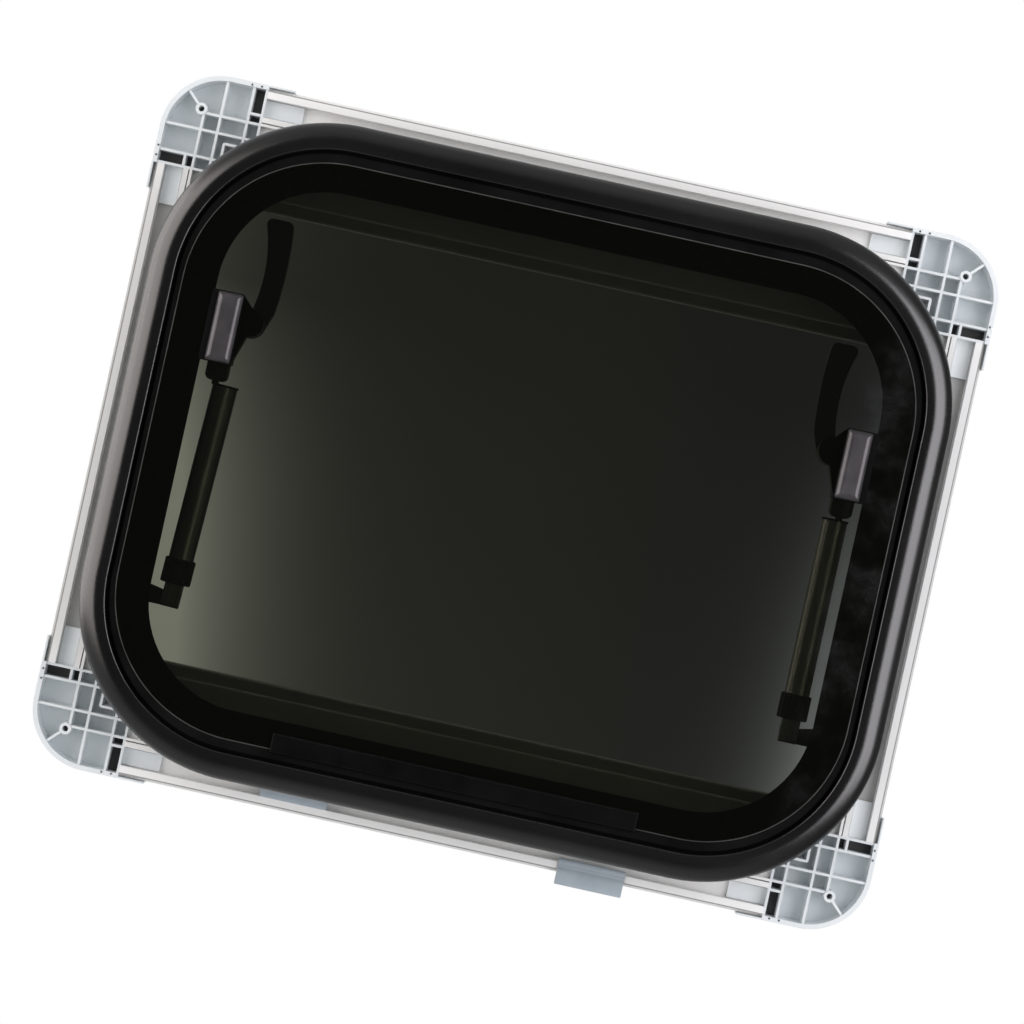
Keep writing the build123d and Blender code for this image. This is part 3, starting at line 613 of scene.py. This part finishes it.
def painted_depth_shade():
    """Painted shade that grows with depth, on what faces far enough away from the room."""
    tree, given, result = effect_group("painted_depth_shade", ("Faces Full", "Faces None"), {"Shade": "Float"})
    deep = spread(tree, place_on(tree)[1], 0.0, 1.0, *SHADE_DEPTH_RANGE)
    turned = spread(tree, facing(tree), 1.0, 0.0, given[0], given[1])
    tree.links.new(math_of(tree, "MULTIPLY", deep, turned), result[0])
    return tree


def painted_rim_shadow():
    """A thin painted shadow line along a rim, at a distance from the middle that is measured along X or Z.
    """
    tree, given, result = effect_group("painted_rim_shadow", ("Along X", "Along Z", "Distance"), {"Shadow": "Float"})
    place = place_on(tree)
    level = math_of(tree, "MULTIPLY", math_of(tree, "ABSOLUTE", place[0]), given[0])
    upright = math_of(tree, "MULTIPLY", math_of(tree, "ABSOLUTE", place[2]), given[1])
    off = math_of(tree, "SUBTRACT", math_of(tree, "ADD", level, upright), given[2])
    core = SHADOW_LINE_CORE * SHADOW_LINE_WIDTH
    line = spread(tree, math_of(tree, "ABSOLUTE", off), SHADOW_LINE_COVER, 0.0, core, SHADOW_LINE_WIDTH)
    tree.links.new(line, result[0])
    return tree


PAINTED_DEPTH_SHADE = painted_depth_shade()
PAINTED_RIM_SHADOW = painted_rim_shadow()


def extruded_white(name, across, shade_level, white=0.85, shade_faces=(-0.9, -0.4), rim_shadow=None):
    """White plastic with die lines along it, painted shade down to a grey, and a painted shadow line if it
    is given.
    """
    material, tree, shader = new_finish(name)
    lines = lines_along(tree, across)
    edges = placed(tree, ROUNDED_EDGES, radius=RAIL_EDGE)
    skin = placed(tree, UNEVEN_SKIN, patch_scale=14.0, grain_scale=1400.0)
    # Painted shade: darker where the plastic lies deep and faces away from the room.
    depth_shade = placed(tree, PAINTED_DEPTH_SHADE, faces_full=shade_faces[0], faces_none=shade_faces[1])["Shade"]
    shades = [(shade, shade, WHITE_WARMTH * shade, 1.0)
              for shade in (white, white + PATCH_PALER, white + LINE_PALER)]
    plain = between(tree, skin["Patches"], shades[0], shades[1])
    drawn = between(tree, lines, plain, shades[2])
    colour = between(tree, depth_shade, drawn, (shade_level, shade_level, SHADE_WARMTH * shade_level, 1.0))
    # Painted shadow: a thin dark line at the foot of the rim.
    if rim_shadow:
        colour = between(tree, placed(tree, PAINTED_RIM_SHADOW, **rim_shadow)["Shadow"], colour, SHADOW_LINE_COLOUR)
    tree.links.new(colour, shader["Base Color"])
    tree.links.new(spread(tree, skin["Patches"], *RAIL_GLOSS), shader["Roughness"])
    values = {"Height": lines, "Strength": RAIL_LINE_STRENGTH, "Distance": RAIL_LINE_HEIGHT,
              "Normal": edges["Normal"]}
    tree.links.new(node(tree, "Bump", values).outputs[0], shader["Normal"])
    return material


# The upright rails get a strong painted shade in the deep channel beside the lip, and the level rails a
# faint one.
upright_white = extruded_white(
    "upright_white", (900.0, 900.0, 4.0), 0.40, rim_shadow={"along_x": 1.0, "along_z": 0.0, "distance": 0.2861})
# The level rails' white is paler than the upright rails' white, though they are the same plastic: painted
# light.
lit_level_white = extruded_white(
    "lit_level_white", (4.0, 900.0, 900.0), 0.86, white=0.91,
    rim_shadow={"along_x": 0.0, "along_z": 1.0, "distance": 0.2361})
dress(upright_white, *[side + "_rail" for side in SIDES])
dress(lit_level_white, "top_rail", "bottom_rail")
# The keys' near-black grey is painted shade, standing for the dark deep in the slots.
shade_dark_key = skinned(
    "shade_dark_key", ((0.03, 0.03, 0.03), (0.045, 0.045, 0.043)), (0.45, 0.6),
    patch=50.0, grain=1500.0, pebble=0.2)
dress(shade_dark_key, "rail_keys")


# Cassettes and bars: white extrusions that hold the rolled blind and insect screen, and their pull bars.
# They lie across between the rails, and the sides that don't face the room get a dark painted shade.
cassette_white = extruded_white("cassette_white", (4.0, 900.0, 900.0), 0.11, shade_faces=(0.1, 0.5))
dress(cassette_white, "screen_cassette", "screen_bar", "blind_cassette", "blind_bar")


# Clips: pale blue-grey moulded clips that snap on to the top rail's wall side. Each is a thin plate with
# a crowned grip along its outer edge, a rounded rib along its inner edge and a groove between them.
clip_blue = skinned(
    "clip_blue", ((0.36, 0.42, 0.47), (0.42, 0.48, 0.53)), (0.35, 0.48),
    patch=60.0, grain=1300.0, pebble=0.1, edge=0.0005, worn=(0.52, 0.58, 0.63))
CLIP_PLATE = 0.0014
CLIP_RIB = 0.0044
CLIP_GROOVE = 0.0018
CLIP_ENDS = 0.0005
END_STEPS = 4
RIB_SETBACK = 0.0003
RIB_ROUND = 0.001
RIB_STEPS = 8
GRIP_ROUND = 0.0011
GRIP_STEPS = 14
CROWN_CURVE = 3
SECTION_SEED = 0.001
clip_boxes = [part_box(side + "_clip") for side in SIDES]
clip_low, clip_high = clip_boxes[0]
rib_end = clip_low.z + CLIP_RIB
grip_start = rib_end + CLIP_GROOVE
groove_floor = clip_high.y - CLIP_PLATE


def crowned(start, end, front, drop, steps):
    """Points (depth, height) of a stretch of the clip's section that is round at both ends."""
    shares = [i / steps for i in range(steps + 1)]
    return [(front + drop * abs(2 * t - 1) ** CROWN_CURVE, start + (end - start) * t) for t in shares]


def draw_section(x, points):
    """Draws a section through points (depth, height) from one vertex on, and fills it."""
    bpy.ops.mesh.select_mode(type="VERT")
    bpy.ops.mesh.primitive_plane_add(size=SECTION_SEED, location=(x, *points[0]))
    bpy.ops.mesh.merge(type="CENTER")
    for (depth, height), (next_depth, next_height) in zip(points, points[1:]):
        extrude_by(0.0, next_depth - depth, next_height - height)
    bpy.ops.mesh.select_all(action="SELECT")
    bpy.ops.mesh.edge_face_add()


clip_section = [(clip_high.y, clip_low.z)]
clip_section += crowned(clip_low.z, rib_end, clip_low.y + RIB_SETBACK, RIB_ROUND, RIB_STEPS)
clip_section += [(groove_floor, rib_end), (groove_floor, grip_start)]
clip_section += crowned(grip_start, clip_high.z, clip_low.y, GRIP_ROUND, GRIP_STEPS)
clip_section += [(clip_high.y, clip_high.z)]
clip = start_piece("left_clip_body")
draw_section(clip_low.x, clip_section)
bpy.ops.mesh.select_mode(type="FACE")
extrude_by(clip_high.x - clip_low.x, 0.0, 0.0)
bpy.ops.mesh.select_all(action="DESELECT")
bpy.ops.mesh.select_face_by_sides(number=4, type="GREATER")
bpy.ops.mesh.region_to_loop()
bpy.ops.mesh.bevel(offset=CLIP_ENDS, segments=END_STEPS, affect="EDGES")
end_piece(clip, clip_blue)
clip_shift = clip_boxes[1][0] - clip_boxes[0][0]
other_clip = copy_of(clip, "right_clip_body", Matrix.Translation(clip_shift))
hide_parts("left_clip")
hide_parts("right_clip")


# Studio: a round sheet of pale paper below the window, soft lamps at both sides, and a white surround.
# The surround is plain white to the camera, and shaded where the pane shows it or a glossy piece mirrors it.
FLOOR_LEVEL = -0.6
FLOOR_RADIUS = 0.9
FLOOR_SIDES = 96
FLOOR_FADE = (0.35, 0.95)
WHITE = (1.0, 1.0, 1.0, 1.0)
BLACK = (0.0, 0.0, 0.0, 1.0)
bpy.ops.object.select_all(action="DESELECT")
bpy.ops.mesh.primitive_circle_add(vertices=FLOOR_SIDES, radius=FLOOR_RADIUS, fill_type="NGON",
                                  location=(0.0, 0.0, FLOOR_LEVEL))
floor = bpy.context.object
floor.name = "studio_floor"


def floor_paper():
    """Pale paper, lit by the lamps near the window and plain white towards its edge, clear from below."""
    material, tree, shader = new_finish("floor_paper", roughness=0.9)
    place = node(tree, "TexCoord").outputs["Object"]
    grain = node(tree, "TexNoise", {"Vector": place, "Scale": 300.0}).outputs[0]
    colour = between(tree, grain, (0.84, 0.84, 0.84, 1.0), (0.87, 0.87, 0.87, 1.0))
    tree.links.new(colour, shader["Base Color"])
    reach = node(tree, "VectorMath", {0: place}, operation="LENGTH").outputs["Value"]
    fade = spread(tree, reach, 0.0, 1.0, *[share * FLOOR_RADIUS for share in FLOOR_FADE])
    white = node(tree, "Emission", {"Color": WHITE}).outputs[0]
    clear = node(tree, "BsdfTransparent").outputs[0]
    paper = tree.nodes["Principled BSDF"].outputs[0]
    faded = node(tree, "MixShader", {0: fade, 1: paper, 2: white}).outputs[0]
    below = node(tree, "NewGeometry").outputs["Backfacing"]
    sided = node(tree, "MixShader", {0: below, 1: faded, 2: clear}).outputs[0]
    tree.links.new(sided, tree.nodes["Material Output"].inputs["Surface"])
    return material


floor.data.materials.append(floor_paper())
floor.visible_glossy = False


def softbox(name, place, aim, size, power, tint):
    """A soft rectangular lamp that points at a place, and isn't seen through the pane."""
    lamp = bpy.data.lights.new(name, "AREA")
    lamp.shape = "RECTANGLE"
    lamp.size, lamp.size_y = size
    lamp.energy = power
    lamp.color = tint
    stand = bpy.data.objects.new(name, lamp)
    stand.location = place
    stand.rotation_euler = (Vector(aim) - Vector(place)).to_track_quat("-Z", "Y").to_euler()
    stand.visible_transmission = False
    bpy.context.collection.objects.link(stand)


SOFTBOX_REACH = 1.7
SOFTBOX_LEVEL = -0.2
COOL_LAMP = (1.0, 0.975, 1.015)
WARM_LAMP = (1.05, 0.985, 0.955)
for name, turned, size, power, tint in (
    ("left_softbox", -49.0, (1.6, 1.6), 18.2, COOL_LAMP),
    ("right_softbox", 61.0, (1.8, 1.6), 14.6, WARM_LAMP),
    ("far_softbox", 104.0, (1.2, 1.6), 9.0, WARM_LAMP),
):
    angle = math.radians(turned)
    place = (SOFTBOX_REACH * math.sin(angle), -SOFTBOX_REACH * math.cos(angle), SOFTBOX_LEVEL)
    softbox(name, place, (0.0, 0.0, 0.0), size, power, tint)

# A direction behind the pane is its slope across or upward, and any other is its share along X or Y.
# A shade gives the levels at the two ends of a range of directions, and then those two ends.
AMBIENT = (0.6, 0.605, 0.61, 1.0)
COOL_SKY = (0.97, 1.0, 1.22, 1.0)
PANE_SIDE = 0.1105
GLOW_LIMIT = 1.1
RIGHT_GLOW = 1.1
RIGHT_FADE = 0.019
LEFT_GLOW = 0.42
LEFT_FADE = -0.0105
GLOW_RISE = (0.1, 1.82, -0.056, 0.1)
GLOW_OUTSIDE = (1.0, 0.2, 0.13, 0.3)
MIDDLE_LEVEL = 0.08
MIDDLE_RISE = 0.25
MIDDLE_LEFT = (0.75, 1.0, -0.1, 0.0)
COOL_SIDE = (1.0, 0.0, -0.1, -0.03)
LEFT_BAND_INNER = (2.6, 0.0, -0.5, -0.25)
LEFT_BAND_OUTER = (0.0, 1.0, -0.8, -0.6)
RIGHT_BAND = (0.08, 0.25, 0.4, 0.9)
FRONT_LEVEL = (0.03, 0.2, -0.93, -0.4)
FRONT_LEFT = (0.25, 1.0, -0.8, -0.2)
REAR_LEVEL = (0.0, 0.3, 0.1, 1.0)
REAR_LEFT = (0.1, 1.0, -0.25, 0.2)


def side_glow(tree, past, fade, strength):
    """Light beyond one side of the pane, which dies away towards its middle."""
    glow = math_of(tree, "EXPONENT", math_of(tree, "DIVIDE", past, fade))
    return math_of(tree, "MULTIPLY", math_of(tree, "MINIMUM", glow, GLOW_LIMIT), strength)


def seen_through_pane(tree, way):
    """The surround behind the pane: a glow at both sides that rises with height, dim in the middle."""
    across = math_of(tree, "DIVIDE", way[0], way[1])
    upward = math_of(tree, "DIVIDE", way[2], way[1])
    right = side_glow(tree, math_of(tree, "SUBTRACT", across, PANE_SIDE), RIGHT_FADE, RIGHT_GLOW)
    left = side_glow(tree, math_of(tree, "ADD", across, PANE_SIDE), LEFT_FADE, LEFT_GLOW)
    outside = spread(tree, math_of(tree, "ABSOLUTE", across), *GLOW_OUTSIDE)
    sides = math_of(tree, "MULTIPLY", math_of(tree, "ADD", right, left), outside)
    risen = math_of(tree, "MULTIPLY", sides, spread(tree, upward, *GLOW_RISE))
    middle = math_of(tree, "ADD", math_of(tree, "MULTIPLY", upward, MIDDLE_RISE), MIDDLE_LEVEL)
    middle = math_of(tree, "MULTIPLY", middle, spread(tree, across, *MIDDLE_LEFT))
    level = spread(tree, math_of(tree, "ADD", risen, middle), 0.0, 1.0)
    sky = between(tree, spread(tree, across, *COOL_SIDE), WHITE, COOL_SKY)
    return between(tree, level, BLACK, sky)


def seen_from_behind_pane(tree, way):
    """The surround in front of the pane: a bright band at the left and a dim one at the right."""
    inner = spread(tree, way[0], *LEFT_BAND_INNER)
    left = math_of(tree, "MULTIPLY", inner, spread(tree, way[0], *LEFT_BAND_OUTER))
    return math_of(tree, "ADD", left, spread(tree, way[0], *RIGHT_BAND))


def mirrored(tree, way):
    """The surround in glossy pieces: dark behind the camera, paler to the sides and behind the window."""
    front = math_of(tree, "MULTIPLY", spread(tree, way[1], *FRONT_LEVEL), spread(tree, way[0], *FRONT_LEFT))
    rear = math_of(tree, "MULTIPLY", spread(tree, way[1], *REAR_LEVEL), spread(tree, way[0], *REAR_LEFT))
    return math_of(tree, "ADD", front, rear)


def surround():
    """An even ambient light, white to the camera, with its shades for the pane and for glossy pieces."""
    world = bpy.data.worlds.new("surround")
    bpy.context.scene.world = world
    world.use_nodes = True
    tree = world.node_tree
    way = node(tree, "SeparateXYZ", {0: node(tree, "TexCoord").outputs["Generated"]}).outputs
    path = node(tree, "LightPath").outputs
    ahead = math_of(tree, "GREATER_THAN", way[1], 0.0)
    through = between(tree, ahead, seen_from_behind_pane(tree, way), seen_through_pane(tree, way))
    light = between(tree, path["Is Glossy Ray"], AMBIENT, mirrored(tree, way))
    light = between(tree, path["Is Transmission Ray"], light, through)
    light = between(tree, path["Is Camera Ray"], light, WHITE)
    tree.links.new(light, tree.nodes["Background"].inputs["Color"])


surround()
bpy.context.scene.view_settings.view_transform = "Standard"


# Camera: square on to the outside of the window, from far enough for little perspective.
# It is turned, so that the window lies upside down and a little turned in the picture.
CAMERA_DISTANCE = 2.0
CAMERA_TURN = math.radians(12.4)
CAMERA_AIM = (0.00096, -0.004, 0.00673)
PICTURE_WIDTH = 0.6813
SENSOR_WIDTH = 36.0
lens = bpy.data.cameras.new("camera")
lens.sensor_width = SENSOR_WIDTH
lens.lens = SENSOR_WIDTH * CAMERA_DISTANCE / PICTURE_WIDTH
camera = bpy.data.objects.new("camera", lens)
picture_right = Vector((-math.cos(CAMERA_TURN), 0.0, -math.sin(CAMERA_TURN)))
picture_up = Vector((math.sin(CAMERA_TURN), 0.0, -math.cos(CAMERA_TURN)))
turn = Matrix((picture_right, picture_up, (0.0, -1.0, 0.0))).transposed().to_4x4()
camera.matrix_world = Matrix.Translation(Vector(CAMERA_AIM) - Vector((0.0, CAMERA_DISTANCE, 0.0))) @ turn
bpy.context.collection.objects.link(camera)
bpy.context.scene.camera = camera
